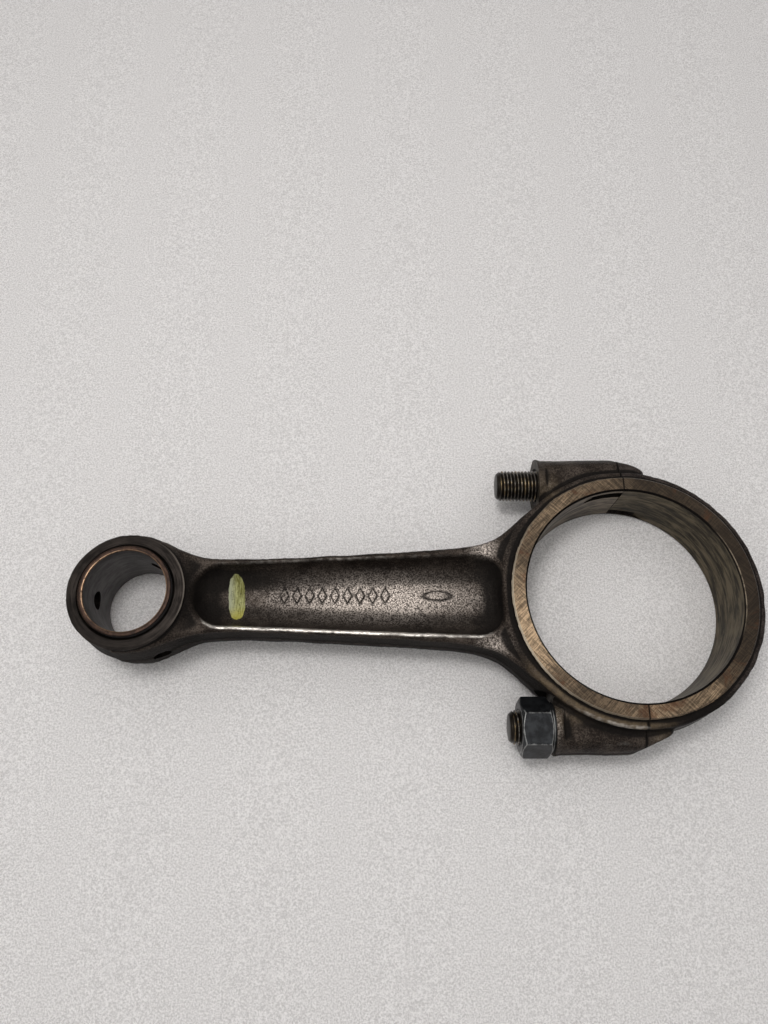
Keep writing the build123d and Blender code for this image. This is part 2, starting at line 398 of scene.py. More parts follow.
def undulation(points, wavelength, seed, waves=9):
    """A soft random swell of about -1 to 1, as a sum of plane waves."""
    random = np.random.default_rng(seed)
    directions = random.normal(size=(waves, 3))
    directions *= 2 * math.pi / wavelength / np.linalg.norm(directions, axis=1)[:, None]
    phases = random.uniform(0, 2 * math.pi, waves)
    return np.sin(points @ directions.T + phases).sum(axis=1) / math.sqrt(waves)


def worn_forging_field(points):
    """The forging with the slight unevenness that the dies and the scale leave."""
    value = forging_field(*points.T)
    for height, wavelength, seed in UNEVENNESS:
        value = value + height * undulation(points, wavelength, seed)
    return value


# ---- Meshes ----
def grid_field(low, high):
    """The forging's field on a regular grid, worked out in slices to spare memory."""
    counts = np.ceil((high - low) / GRID_STEP).astype(int) + 1
    xs, ys, zs = (low[i] + GRID_STEP * np.arange(counts[i]) for i in range(3))
    values = np.empty(counts, np.float32)
    for i, x in enumerate(xs):
        values[i] = forging_field(np.float64(x), ys[:, None], zs[None, :])
    for axis in range(3):
        np.moveaxis(values, axis, 0)[[0, -1]] = GRID_STEP
    return values


def skin_of(field, low):
    """Surface net: one vertex in each cell that the surface crosses, one quad round each crossed edge."""
    inside = field < 0
    shape = np.array(field.shape) - 1
    corners = [(i, j, k) for i in (0, 1) for j in (0, 1) for k in (0, 1)]
    views = [inside[i:shape[0] + i, j:shape[1] + j, k:shape[2] + k] for i, j, k in corners]
    count = np.zeros(tuple(shape), np.int8)
    for view in views:
        count += view
    cells = np.argwhere((count > 0) & (count < 8))
    number = np.full(tuple(shape), -1, np.int32)
    number[tuple(cells.T)] = np.arange(len(cells))

    total = np.zeros((len(cells), 3))
    crossings = np.zeros(len(cells))
    for a, first in enumerate(corners):
        for axis in range(3):
            if first[axis]:
                continue
            second = tuple(1 if i == axis else first[i] for i in range(3))
            value_1 = field[tuple((cells + first).T)]
            value_2 = field[tuple((cells + second).T)]
            crossed = (value_1 < 0) != (value_2 < 0)
            share = np.where(crossed, value_1 / np.where(crossed, value_1 - value_2, 1), 0)
            place = np.array(first) + share[:, None] * (np.array(second) - first)
            total += place * crossed[:, None]
            crossings += crossed
    points = low + GRID_STEP * (cells + total / crossings[:, None])

    quads = []
    for axis in range(3):
        ahead = np.roll((0, 1, 2), -axis)
        before = np.moveaxis(inside, axis, 0)[:-1]
        after = np.moveaxis(inside, axis, 0)[1:]
        crossed = np.moveaxis(before != after, 0, axis)
        edges = np.argwhere(crossed)
        one, two = ahead[1], ahead[2]
        keep = (edges[:, one] > 0) & (edges[:, two] > 0)
        keep &= (edges[:, one] < shape[one]) & (edges[:, two] < shape[two])
        edges = edges[keep]
        leaving = inside[tuple(edges.T)]
        ring = []
        for step_one, step_two in ((0, 0), (1, 0), (1, 1), (0, 1)):
            cell = edges.copy()
            cell[:, one] -= step_one
            cell[:, two] -= step_two
            ring.append(number[tuple(cell.T)])
        ring = np.stack(ring, axis=1)
        quads.append(np.where(leaving[:, None], ring, ring[:, ::-1]))
    return points, np.concatenate(quads)


def settle(points):
    """Moves the net's vertices onto the uneven skin along its slope."""
    small = 0.02
    for _ in range(3):
        value = worn_forging_field(points)
        slope = np.empty_like(points)
        for axis in range(3):
            step = np.zeros(3)
            step[axis] = small
            slope[:, axis] = (worn_forging_field(points + step) - value) / small
        steepness = np.maximum((slope ** 2).sum(axis=1), 0.2)
        move = slope * (value / steepness)[:, None]
        points = points - np.clip(move, -GRID_STEP / 2, GRID_STEP / 2)
    return points


def put_in_scene(name, data):
    """A new object for a mesh, a lamp or a camera."""
    thing = bpy.data.objects.new(name, data)
    bpy.context.scene.collection.objects.link(thing)
    return thing


def make_piece(name, points, faces):
    """A mesh object from points in millimetres."""
    mesh = bpy.data.meshes.new(name)
    mesh.from_pydata((np.asarray(points) * MM).tolist(), [], [list(face) for face in faces])
    mesh.update()
    return put_in_scene(name, mesh)


def forged_blank(name, low, high):
    """The part of the forging between two corners, closed where it is cut off."""
    low, high = np.array(low, float), np.array(high, float)
    points, quads = skin_of(grid_field(low, high), low)
    return make_piece(name, settle(points), quads.tolist())


def revolve(name, rows, centre=(0, 0, 0), along="z", segments=192, closed=False):
    """A surface of rings about an axis. A row is (radius, station), where the radius may differ by segment.

    A radius of 0 closes an end. A closed surface goes back from the last row to the first.
    """
    angle = turns(segments)
    points, rings = [], []
    for radius, station in rows:
        start = sum(len(part) for part in points)
        if np.ndim(radius) == 0 and radius == 0:
            points.append(np.array([[0, 0, station]]))
            rings.append(np.full(segments, start))
            continue
        ring = (radius * np.cos(angle), radius * np.sin(angle), station + 0 * angle)
        points.append(np.stack(ring, axis=1))
        rings.append(start + np.arange(segments))
    faces = []
    for lower, upper in zip(rings, rings[1:] + (rings[:1] if closed else [])):
        for i in range(segments):
            corners = (lower[i - 1], lower[i], upper[i], upper[i - 1])
            faces.append(list(dict.fromkeys(int(corner) for corner in corners)))
    points = np.concatenate(points)
    if along == "x":
        points = points[:, (2, 0, 1)]
    return make_piece(name, points + np.array(centre), faces)


def slab(low, high):
    """A plain box, used only as a cutting tool."""
    corners = [(x, y, z) for x in (low[0], high[0]) for y in (low[1], high[1]) for z in (low[2], high[2])]
    faces = [(0, 1, 3, 2), (4, 6, 7, 5), (0, 4, 5, 1), (2, 3, 7, 6), (0, 2, 6, 4), (1, 5, 7, 3)]
    return make_piece("tool", corners, faces)


def machine(piece, tool, operation="DIFFERENCE"):
    """Cuts, joins or keeps by a tool, and throws the tool away."""
    modifier = piece.modifiers.new("machining", "BOOLEAN")
    modifier.solver = "MANIFOLD"
    modifier.operation = operation
    modifier.object = tool
    bpy.context.view_layer.update()
    graph = bpy.context.evaluated_depsgraph_get()
    mesh = bpy.data.meshes.new_from_object(piece.evaluated_get(graph))
    old = piece.data
    piece.modifiers.clear()
    piece.data = mesh
    mesh.name = piece.name
    bpy.data.meshes.remove(old)
    bpy.data.objects.remove(tool)
    return piece


# ---- The forged pieces: blanks, then the cuts that the machine shop makes in them ----
def mirrored(rows):
    """The rows of one end, and the same rows backwards for the other end."""
    return rows + [(radius, -station) for radius, station in reversed(rows)]


def plug(radius, start, end):
    """The rows of a plain cylinder."""
    return [(0, start), (radius, start), (radius, end), (0, end)]


def bore_tool(radius, half_length, bevel, centre_x=0.0):
    """A cutter for a bore with a bevel at both its ends."""
    end = [(0, -half_length - 1), (radius + bevel + 1, -half_length - 1), (radius, bevel - half_length)]
    return revolve("tool", mirrored(end), (centre_x, 0, 0), segments=256)


def stock_disc(radius, half_thickness, bevel, reach, centre_x):
    """What facing leaves: a disc with a bevelled rim standing on a wider, slightly lower disc."""
    face, step = -half_thickness, bevel - half_thickness
    end = [(0, face), (radius - bevel, face), (radius, step), (reach, step)]
    return revolve("tool", mirrored(end), (centre_x, 0, 0), segments=256)


def bolt_hole_tool(side):
    """The spot face, the hole behind it and its small countersink."""
    hole = BOLT_SHANK + BOLT_CLEARANCE
    rows = [
        (0, SEAT_X - 12),
        (SPOT_FACE_RADIUS, SEAT_X - 12),
        (SPOT_FACE_RADIUS, SEAT_X),
        (hole + BOLT_COUNTERSINK, SEAT_X),
        (hole, SEAT_X + BOLT_COUNTERSINK),
        (hole, BOLT_END + BOLT_CLEARANCE),
        (0, BOLT_END + BOLT_CLEARANCE),
    ]
    return revolve("tool", rows, (0, side * BOLT_Y, 0), "x", 96)


def tang_tool(height):
    """The cutter of the notch for a bearing shell's tang."""
    rows = plug(TANG_CUTTER_RADIUS, height - TANG_WIDTH / 2, height + TANG_WIDTH / 2)
    return revolve("tool", rows, (0, BIG_BORE + TANG_DEPTH - TANG_CUTTER_RADIUS, 0), segments=256)


def oil_hole_tool(degrees):
    """A drill that goes outwards from the small end's centre."""
    tool = revolve("tool", plug(OIL_HOLE_RADIUS, 0, 25), along="x", segments=48)
    turn = Matrix.Rotation(math.radians(degrees), 4, "Z")
    tool.data.transform(Matrix.Translation((SMALL_X * MM, 0, 0)) @ turn)
    return tool


def web_height(x, y):
    """The height of the pocket's floor at a place, found by halving."""
    low, high = 0.0, FLANGE_HALF
    for _ in range(30):
        middle = (low + high) / 2
        inside = worn_forging_field(np.array([[x, y, middle]]))[0] < 0
        low, high = (middle, high) if inside else (low, middle)
    return low


def raised_mark(x, y, length, width, pointed):
    """A plain raised lozenge, or an oval if pointed is 0, with sloping sides."""
    foot = web_height(x, y)
    sides = 28
    angle = turns(sides)
    points, faces = [], []
    levels = ((1.25, -1.0), (1.25, 0.02), (1.0, 0.22), (0.8, MARK_HEIGHT - 0.05), (0.5, MARK_HEIGHT))
    for spread, rise in levels:
        across = np.cos(angle) * np.abs(np.cos(angle)) ** pointed * width / 2
        along = np.sin(angle) * np.abs(np.sin(angle)) ** pointed * length / 2
        ring = (x + across * spread, y + along - (1 - spread) * 0.25 * along, foot + rise + 0 * angle)
        points += list(np.stack(ring, axis=1))
    for level in range(len(levels) - 1):
        for i in range(sides):
            j = (i + 1) % sides
            a, b = level * sides, (level + 1) * sides
            faces.append((a + i, a + j, b + j, b + i))
    faces.append(tuple(range(sides))[::-1])
    faces.append(tuple(range((len(levels) - 1) * sides, len(levels) * sides)))
    return make_piece("tool", points, faces)


def make_rod():
    """The rod: split from the forging, faced, bored, drilled and notched, with its raised marks."""
    rod = forged_blank("rod", (SMALL_X - 18, -BLANK_Y, -BLANK_Z), (3, BLANK_Y, BLANK_Z))
    machine(rod, slab((-200, -TOOL_Y, -TOOL_Z), (-JOINT_GAP, TOOL_Y, TOOL_Z)), "INTERSECT")
    big_stock = stock_disc(COLLAR_RADIUS, COLLAR_HALF, COLLAR_BEVEL, TOOL_Y, 0)
    small_stock = stock_disc(SMALL_END_RADIUS - 0.3, BOSS_HALF, 0.12, 45, SMALL_X)
    machine(big_stock, small_stock, "UNION")
    machine(big_stock, slab((-120, -30, -8.5), (-40, 30, 8.5)), "UNION")
    machine(rod, big_stock, "INTERSECT")
    machine(rod, bore_tool(BIG_BORE, COLLAR_HALF, BORE_BEVEL))
    machine(rod, bore_tool(BUSH_RADIUS, BOSS_HALF, BUSH_GROOVE, SMALL_X))
    for side in (1, -1):
        machine(rod, bolt_hole_tool(side))
    machine(rod, tang_tool(TANG_HEIGHTS["rod"]))
    machine(rod, slab((-EDGE_BREAK_WIDTH, BOLT_Y + EDGE_BREAK_START, -9), (1, 45, 9)))
    for degrees in OIL_HOLE_ANGLES:
        machine(rod, oil_hole_tool(degrees))
    for i in range(MARK_COUNT):
        machine(rod, raised_mark(MARK_START + i * MARK_STEP, MARK_Y, MARK_LENGTH, MARK_WIDTH, 1), "UNION")
    machine(rod, raised_mark(BAR_X, MARK_Y, BAR_LENGTH, BAR_WIDTH, 0), "UNION")
    return rod


def make_cap():
    """The cap: the forging's other part, faced, bored, notched and drilled."""
    cap = forged_blank("cap", (-3, -BLANK_Y, -BLANK_Z), (RING_RADIUS + 2, BLANK_Y, BLANK_Z))
    machine(cap, slab((JOINT_GAP, -TOOL_Y, -TOOL_Z), (60, TOOL_Y, TOOL_Z)), "INTERSECT")
    machine(cap, stock_disc(COLLAR_RADIUS, COLLAR_HALF, COLLAR_BEVEL, TOOL_Y, 0), "INTERSECT")
    machine(cap, bore_tool(BIG_BORE, COLLAR_HALF, BORE_BEVEL))
    machine(cap, tang_tool(TANG_HEIGHTS["cap"]))
    for side in (1, -1):
        machine(cap, bolt_hole_tool(side))
    return cap


# ---- Turned pieces ----
def make_bush():
    """A thin sleeve with broken edges, drilled through with the rod."""
    outer, inner, half = BUSH_RADIUS, PIN_BORE, BUSH_HALF_LENGTH
    edge = [
        (outer, half - 0.25),
        (outer - 0.08, half - 0.07),
        (outer - 0.25, half),
        (inner + 0.45, half),
        (inner + 0.12, half - 0.12),
        (inner, half - 0.5),
    ]
    stations = (7, 3.3, 0, -3.3, -7)
    inside = [(inner, station) for station in stations]
    outside = [(outer, -station) for station in stations]
    rows = edge + inside + mirrored(edge)[len(edge):] + outside
    bush = revolve("bush", rows, (SMALL_X, 0, 0), segments=256, closed=True)
    for degrees in OIL_HOLE_ANGLES:
        machine(bush, oil_hole_tool(degrees))
    return bush


THREAD_SEGMENTS = 144
THREAD_ANGLE = turns(THREAD_SEGMENTS)
THREAD_STEP = THREAD_PITCH / 12


def thread_groove(station):
    """How far down its groove a right-hand thread is at each angle, from 0 on the crest to 1 at the root."""
    turn = (station - BOLT_TIP) / THREAD_PITCH - THREAD_ANGLE / (2 * math.pi)
    share = np.abs(2 * (turn % 1) - 1)
    run_in = blend(station, BOLT_TIP - 0.2, BOLT_TIP + 0.5)
    return np.clip(1.25 * (1 - share) - 0.12, 0, 1) * run_in


def make_bolt(name, side):
    """A fitted bolt: a rolled thread, and a plain shank that ends inside the cap."""
    rows = [(radius, BOLT_TIP + 0.02 * radius ** 2) for radius in (0, 1.5, 2.6, 3.2)]
    thread_end = SEAT_X + 3
    for station in np.arange(BOLT_TIP + 0.3, thread_end, THREAD_STEP):
        radius = THREAD_RADIUS - THREAD_DEPTH * thread_groove(station)
        behind = station - BOLT_TIP - 0.3
        if behind < 2.7:
            radius = smooth_min(radius, 3.55 + 0.9 * behind - 0.13 * behind ** 2, 0.25)
        rows.append((radius, station))
    rows.append((THREAD_RADIUS - 0.3, thread_end + 0.2))
    rows += [(BOLT_SHANK, station) for station in (thread_end + 0.6, -12, -4, 0, BOLT_END - 0.3)]
    rows += [(BOLT_SHANK - 0.3, BOLT_END), (0, BOLT_END)]
    return revolve(name, rows, (0, side * BOLT_Y, 0), "x", THREAD_SEGMENTS)


def nut_skin(station):
    """The hexagon's radius at each angle, cut off by the chamfer cones of both faces."""
    turn = (THREAD_ANGLE - NUT_TURN) % (math.pi / 3) - math.pi / 6
    radius = ACROSS_FLATS / 2 / np.cos(turn)
    for depth in (station - nut_low[0], nut_high[0] - NUT_WASHER_FACE - station):
        radius = smooth_min(radius, NUT_FACE_RADIUS + max(depth, -0.05) * NUT_CHAMFER_SLOPE, 0.22)
    return radius


def make_nut():
    """A hexagon nut with a flat nearly facing up, chamfered on both faces, and a real thread inside."""
    low, high = nut_low[0], nut_high[0]
    ends = np.linspace(0, 1.9, 39)
    stations = np.concatenate([low + ends, np.linspace(low + 2.2, high - 2.2, 9), high - ends[::-1]])
    rows = [(nut_skin(station), station) for station in stations]
    rows += [(radius, high) for radius in NUT_FACE_RINGS]
    for station in np.arange(high - 0.1, low, -THREAD_STEP):
        thread = THREAD_RADIUS + THREAD_CLEARANCE - THREAD_DEPTH * thread_groove(station)
        countersink = NUT_FACE_RINGS[-1] - min(station - low, high - station)
        rows.append((np.maximum(thread, countersink), station))
    rows += [(radius, low) for radius in NUT_FACE_RINGS[::-1]]
    return revolve("nut", rows, (0, -BOLT_Y, 0), "x", THREAD_SEGMENTS, closed=True)


# ---- Wear and painted light and shade, kept on the points of each mesh ----
def triples(elements, name):
    """Three numbers of each point or face of a mesh, as rows."""
    numbers = np.empty(len(elements) * 3)
    elements.foreach_get(name, numbers)
    return numbers.reshape(-1, 3)


def points_of(piece):
    """The points of a piece in millimetres."""
    return triples(piece.data.vertices, "co") / MM


def keep(piece, name, values):
    """Stores one number a point, for the materials to read."""
    layer = piece.data.attributes.new(name, "FLOAT", "POINT")
    layer.data.foreach_set("value", np.asarray(values, np.float32))


def spotted(points, spots):
    """How strongly soft spots cover each point."""
    share = np.zeros(len(points))
    for centre, reach, strength in spots:
        away = (((points - centre) / reach) ** 2).sum(axis=1)
        share = np.maximum(share, strength * np.exp(-away))
    return share


def ridge_share(points):
    """Ridges rub mostly along the pocket's edge and round the big end; they get more on the -Y side, as a
    painted highlight where those ridges catch the light.
    """
    x, y, z = points.T
    lower = blend(-y, -5, 3)
    pocket_edge = near(pocket_field(x, y, z), 0, 0.8) * (0.36 + 1.25 * lower)
    pocket_edge *= blend(x, -120, -113) * blend(-x, 36, 42)
    big_end = blend(x, -26, -16) * blend(-x, -3, 1) * lower * (0.35 + 0.25 * near(x, -7, 9))
    return np.maximum(np.maximum(pocket_edge, big_end), 0.12)


def mark_foot(points):
    """1 along the foot of the raised marks, which gets scale and painted shade."""
    x, y, z = points.T
    nearest = MARK_START + MARK_STEP * np.clip(np.round((x - MARK_START) / MARK_STEP), 0, MARK_COUNT - 1)
    along = np.abs(y - MARK_Y)
    lozenge = np.abs(x - nearest) / (MARK_WIDTH / 2) + along / (MARK_LENGTH / 2)
    oval = np.hypot((x - BAR_X) / (BAR_WIDTH / 2), along / (BAR_LENGTH / 2))
    return (near(lozenge, 1.2, 0.25) + near(oval, 1.15, 0.25)) * (z > 0)


def ring_face_share(points):
    """1 on the ring's flat face outside the thrust collar on the -Y side, which stays straw brown."""
    x, y, z = points.T
    face = blend(np.hypot(x, y), COLLAR_RADIUS + 0.15, COLLAR_RADIUS + 0.6) * blend(np.abs(z), 7.3, 7.9)
    return face * blend(-y, 14, 27) * blend(-x, -12, -1)


def keep_forging_wear_and_shade(piece):
    """Ridges stand out and wear bright, with a painted highlight on the -Y side; hollows fill with scale and
    painted shade: both follow the skin's curvature. Steep walls and a few spots get painted shade too.
    """
    points = points_of(piece)
    scale_and_shade = np.zeros(len(points))
    # Hollows: dark scale and painted shade, from the skin's curvature
    for name, reach, depth in (("fine", 0.55, 1.0), ("broad", 1.6, 0.9)):
        bend = -6 * forging_field(*points.T)
        for axis in range(3):
            for side in (reach, -reach):
                step = np.zeros(3)
                step[axis] = side
                bend += forging_field(*(points + step).T)
        scale_and_shade += depth * np.clip(-bend / reach, 0, 1)
        if name == "fine":
            keep(piece, "ridge_wear_and_highlight", np.clip(bend / reach, 0, 1) * ridge_share(points))
    straw = np.maximum(ring_face_share(points), spotted(points, STRAW_SPOTS))
    scale_and_shade *= 1 - 0.8 * straw
    # Painted shade: steep side walls are darker, more so along the parting line
    steep_wall_shade = blend(-np.abs(triples(piece.data.vertex_normals, "vector")[:, 2]), -0.45, -0.15)
    parting_line = near(np.abs(points[:, 2]), 1.4, 0.3)
    seam = near(points[:, 0], 0, 0.3)
    scale_and_shade += steep_wall_shade * (0.5 + 0.4 * parting_line) + 0.8 * seam + 0.5 * mark_foot(points)
    # The shaded spots add painted shade
    keep(piece, "scale_and_shade", scale_and_shade + spotted(points, SHADED_SPOTS))
    keep(piece, "straw", straw)
    # Rubbed spots, with a painted sheen on the pocket's floor
    keep(piece, "lightened", spotted(points, RUBBED_AND_SHEEN_SPOTS))


def keep_nut_wear_and_shade(nut):
    """How near each point of the nut is to one of its edges, with the edges on the +Y side dimmed as painted
    shade.
    """
    x, y, z = (points_of(nut) - (0, -BOLT_Y, 0)).T
    radius = np.hypot(y, z)
    corners = NUT_TURN + np.radians(30 + 60 * np.arange(6))
    gaps = [ACROSS_FLATS / 2 - y * math.cos(a) - z * math.sin(a) for a in corners]
    for depth in (x - nut_low[0], nut_high[0] - NUT_WASHER_FACE - x):
        gaps.append((NUT_FACE_RADIUS + depth * NUT_CHAMFER_SLOPE - radius) / NUT_CHAMFER_SLOPE)
        gaps.append(depth + 0.1)
    gaps = np.sort(np.abs(np.stack(gaps)), axis=0)
    # Painted shade: the edges on the +Y side are dimmed
    shaded = 1 - 0.75 * blend(y, 3.6, 4.4)
    keep(nut, "edge", near(gaps[1], 0, 0.3) * (radius > 5.4) * shaded)


def keep_thread_crests(bolt, side):
    """1 on the thread's crests and 0 at its root. The plain shank gets less of the crests' rubbing and
    painted highlight.
    """
    x, y, z = (points_of(bolt) - (0, side * BOLT_Y, 0)).T
    crest = np.clip((np.hypot(y, z) - THREAD_RADIUS + THREAD_DEPTH) / THREAD_DEPTH, 0, 1)
    keep(bolt, "crest", np.where(x > SEAT_X + 3.4, 0.75, crest))


# ---- Materials ----
def maths(operation):
    """An arithmetic sign for Value that adds a maths node."""
    return lambda value, other=0.0: value.nodes.calc(operation, value, other)


class Value:
    """What comes out of a node. Arithmetic with it adds maths nodes."""

    __add__ = maths("ADD")
    __sub__ = maths("SUBTRACT")
    __mul__ = maths("MULTIPLY")
    __truediv__ = maths("DIVIDE")
    __pow__ = maths("POWER")
    __abs__ = maths("ABSOLUTE")

    def __init__(self, nodes, socket):
        self.nodes = nodes
        self.socket = socket


class Nodes:
    """A node tree, and short calls that each add a node and give its output."""

    def __init__(self, tree):
        self.tree = tree

    def put(self, socket, value):
        if isinstance(value, Value):
            self.tree.links.new(value.socket, socket)
        elif isinstance(value, tuple) and socket.type == "RGBA":
            socket.default_value = (*value, 1)
        else:
            socket.default_value = value

    def add(self, kind, inputs=(), output=0, **settings):
        node = self.tree.nodes.new(kind)
        for key, value in settings.items():
            setattr(node, key, value)
        for key, value in dict(inputs).items():
            self.put(node.inputs[key], value)
        return Value(self, node.outputs[output])

    def calc(self, operation, a, b=0.0):
        return self.add("ShaderNodeMath", {0: a, 1: b}, operation=operation)

    def step(self, value, low, high, start=0.0, end=1.0):
        """start below low, end above high, with a soft change between them."""
        inputs = {"Value": value, "From Min": low, "From Max": high, "To Min": start, "To Max": end}
        return self.add("ShaderNodeMapRange", inputs, interpolation_type="SMOOTHSTEP")

    def mix(self, share, a, b):
        """Colour a, or b where share is 1."""
        return self.add("ShaderNodeMix", {0: share, 6: a, 7: b}, output=2, data_type="RGBA")

    def blend(self, share, a, b):
        """Number a, or b where share is 1."""
        return self.add("ShaderNodeMix", {0: share, 2: a, 3: b}, output=0, data_type="FLOAT")

    def round_tone(self, angle, stops):
        """A number that follows the way round: stops are pairs of degrees from +X and a number."""
        node = self.tree.nodes.new("ShaderNodeValToRGB")
        self.put(node.inputs[0], self.calc("FRACT", angle / (2 * math.pi)))
        ramp = node.color_ramp.elements
        for degrees, _ in stops[1:-1]:
            ramp.new(degrees / 360)
        for stop, (_, tone) in zip(ramp, stops):
            stop.color = (tone, tone, tone, 1)
        return Value(self, node.outputs[0])


class Paintbox(Nodes):
    """The nodes of a new material, and its colour, which is built up in coats."""

    def __init__(self, name):
        self.material = bpy.data.materials.new(name)
        self.material.use_nodes = True
        super().__init__(self.material.node_tree)
        self.shader = self.tree.nodes["Principled BSDF"]

    def ground(self, share, dark, light):
        """The first coat: dark, or light where share is 1."""
        self.colour = self.mix(share, dark, light)

    def coat(self, share, colour):
        """Another colour over the ones so far, where share is 1."""
        self.colour = self.mix(share, self.colour, colour)

    def place(self, stretch=(1, 1, 1)):
        """The point on the piece in millimetres, from the CAD origin."""
        point = self.add("ShaderNodeTexCoord", output="Object")
        scale = tuple(share / MM for share in stretch)
        return self.add("ShaderNodeVectorMath", {0: point, 1: scale}, operation="MULTIPLY")

    def split(self, vector):
        node = self.tree.nodes.new("ShaderNodeSeparateXYZ")
        self.put(node.inputs[0], vector)
        return [Value(self, socket) for socket in node.outputs]

    def around(self, centre_x):
        """The angle in radians and the radius about an upright axis."""
        x, y, _ = self.split(self.place())
        x = x - centre_x
        return self.calc("ARCTAN2", y, x), self.calc("SQRT", x * x + y * y)

    def turned_place(self, centre_x, along, across):
        """A place whose noise is drawn out round an upright axis, and fine across the radius."""
        x, y, _ = self.split(self.place((along, along, 1)))
        return self.add("ShaderNodeCombineXYZ", {0: x, 1: y, 2: self.around(centre_x)[1] * across})

    def noise(self, scale, detail=3.0, roughness=0.6, distortion=0.0, place=None):
        """Soft noise about 1 / scale mm across, at a place or at the plain one."""
        inputs = {"Vector": place or self.place(), "Scale": scale, "Detail": detail}
        inputs.update({"Roughness": roughness, "Distortion": distortion})
        return self.add("ShaderNodeTexNoise", inputs)

    def attribute(self, name):
        return self.add("ShaderNodeAttribute", output="Fac", attribute_name=name)

    def bump(self, height, depth, under=None):
        """A normal from a height of 0 to 1 that stands for a depth in millimetres."""
        inputs = {"Height": height, "Distance": depth * MM, "Strength": 1.0}
        if under is not None:
            inputs["Normal"] = under
        return self.add("ShaderNodeBump", inputs)

    def finish(self, roughness, metallic, normal=None, specular=0.5):
        values = {"Base Color": self.colour, "Roughness": roughness, "Metallic": metallic}
        values["Specular IOR Level"] = specular
        if normal is not None:
            values["Normal"] = normal
        for key, value in values.items():
            self.put(self.shader.inputs[key], value)
        return self.material


def forged_steel(name, dark, light, painted=False):
    """Dark forging scale: sandy grain, black in the hollows with scale and painted shade, cleaned by rubbing
    with a painted sheen on the pocket's floor, bright on worn ridges with a painted highlight.
    """
    box = Paintbox(name)
    patch = box.noise(0.13, 4)
    sand = box.noise(2.4, 3, 0.8)
    lumps = box.noise(0.75, 4, 0.7)
    box.ground(box.step(patch * 0.4 + sand * 0.6, 0.42, 0.62), dark, light)
    # Cleaned steel where rubbed, and a painted sheen on the pocket's floor
    clean_and_sheen = box.step(box.attribute("lightened") + (lumps - 0.5) * 0.6, 0.05, 1.0)
    clean_and_sheen = clean_and_sheen * box.step(sand, 0.41, 0.60, 0.04, 1.0)
    box.coat(clean_and_sheen, CLEANED_STEEL_AND_SHEEN)
    straw = box.attribute("straw") * box.step(lumps, 0.3, 0.7, 0.35, 1)
    box.coat(straw, STRAW_BROWN)
    # Black scale and painted shade in the hollows, on steep walls and in the shaded spots
    dark_scale_and_shade = box.step(box.attribute("scale_and_shade") + (patch - 0.5) * 0.5, 0.05, 0.7, 0, 0.9)
    box.coat(dark_scale_and_shade, BLACK_SCALE_AND_SHADE)
    # Bright ridges: wear, with a painted highlight
    ragged = box.step(box.noise(0.5, 3, 0.5), 0.3, 0.7, 0.6, 1.4)
    wear_and_highlight = box.step(box.attribute("ridge_wear_and_highlight") * ragged, 0.1, 0.85)
    box.coat(wear_and_highlight, BRIGHT_RIDGE_AND_HIGHLIGHT)
    roughness = box.blend(dark_scale_and_shade, box.blend(sand, 0.52, 0.38), 0.75)
    roughness = box.blend(wear_and_highlight, roughness, 0.3)
    normal = box.bump(lumps, 0.22, box.bump(sand, 0.16))
    bare = box.calc("MAXIMUM", wear_and_highlight, clean_and_sheen)
    metallic = box.blend(bare, box.blend(dark_scale_and_shade, 0.6, 0.1), 1.0)
    if painted:
        roughness, metallic = paint_dab(box, roughness, metallic)
    return box.finish(roughness, metallic, normal, specular=0.08)


def paint_dab(box, roughness, metallic):
    """One stroke of pale yellow-green marking paint on the pocket's floor."""
    x, y, z = box.split(box.place())
    across = (x - PAINT_PLACE[0] + y * PAINT_LEAN) / (PAINT_SIZE[0] / 2)
    along = (y - PAINT_PLACE[1]) / (PAINT_SIZE[1] / 2)
    ragged = (box.noise(0.8, 4) - 0.5) * 0.5
    reach = across * across + abs(along) ** 3.0 + ragged
    mask = box.step(reach, 1.05, 0.9) * box.step(z, 0.0, 1.0)
    streak = box.noise(1.0, 3, place=box.place((2.2, 0.25, 1)))
    speckle = box.step(box.noise(1.6, 3, 0.7), 0.57, 0.68)
    paint = box.mix(box.step(streak, 0.35, 0.62), *PAINT_THIN_AND_THICK)
    paint = box.mix(box.step(across, 0.1, -0.9, 0, 0.6), paint, PAINT_PALE_SIDE)
    paint = box.mix(box.step(along, -0.3, -0.9, 0, 0.7), paint, PAINT_YELLOW_END)
    paint = box.mix(speckle * 0.65, paint, PAINT_SPECKLE)
    box.coat(mask, paint)
    return box.blend(mask, roughness, 0.5), box.blend(mask, metallic, 0.0)


